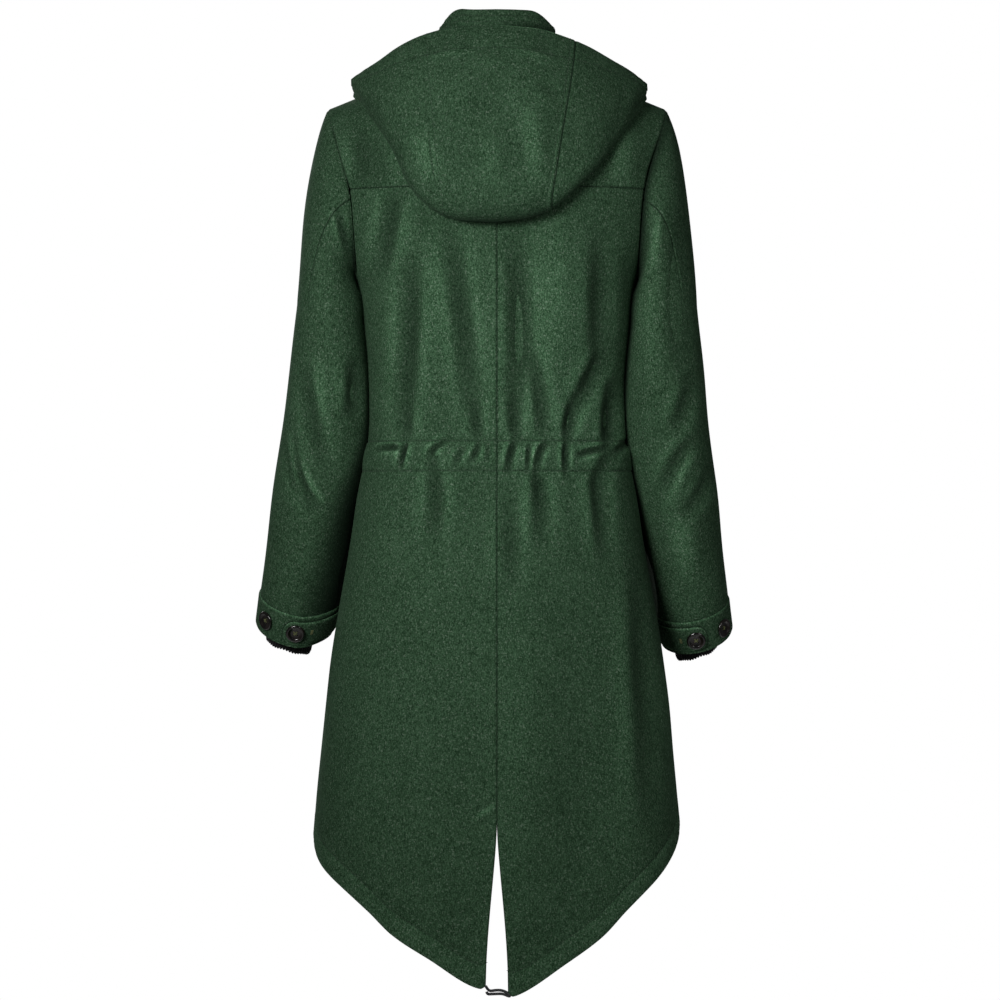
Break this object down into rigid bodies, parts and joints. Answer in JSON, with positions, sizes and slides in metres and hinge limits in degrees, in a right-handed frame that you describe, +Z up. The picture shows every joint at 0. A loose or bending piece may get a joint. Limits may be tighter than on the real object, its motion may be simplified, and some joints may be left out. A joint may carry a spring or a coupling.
{
  "type": "fishtail parka",
  "caption": "Wool fishtail parka with its hood down, hollow as if worn: stand collar, back yoke, drawn-in waist, buttoned cuff tabs over knit storm cuffs, and a split tail hem with a drawcord.",
  "frame": {"origin": "middle of the neck base, where the coat hangs on whoever wears it", "axes": "+Z up along the body, +Y out of the back, -Y out of the buttoned front, +X to the wearer's left"},
  "size_m": [0.5559, 0.314, 1.1092],
  "materials": {
    "wool": "heathered felted wool, matt",
    "rib_knit": "ribbed knit, matt",
    "horn_button": "polished horn look",
    "elastic_cord": "covered elastic, slightly shiny"
  },
  "bodies": {
    "root": {"yoke_back": "wool", "back_left": "wool", "back_right": "wool", "front_left": "wool", "front_right": "wool", "front_placket": "wool", "collar": "wool", "hood_center": "wool", "hood_side_left": "wool", "hood_side_right": "wool", "sleeve_upper_left": "wool", "sleeve_upper_right": "wool", "sleeve_under_left": "wool", "sleeve_under_right": "wool", "cuff_band_left": "wool", "cuff_band_right": "wool", "cuff_tab_left": "wool", "cuff_tab_right": "wool", "rib_cuff_left": "rib_knit", "rib_cuff_right": "rib_knit", "button_tab_left": "horn_button", "button_tab_right": "horn_button", "button_spare_left": "horn_button", "button_spare_right": "horn_button", "hem_drawcord": "elastic_cord"}
  },
  "joints": []
}
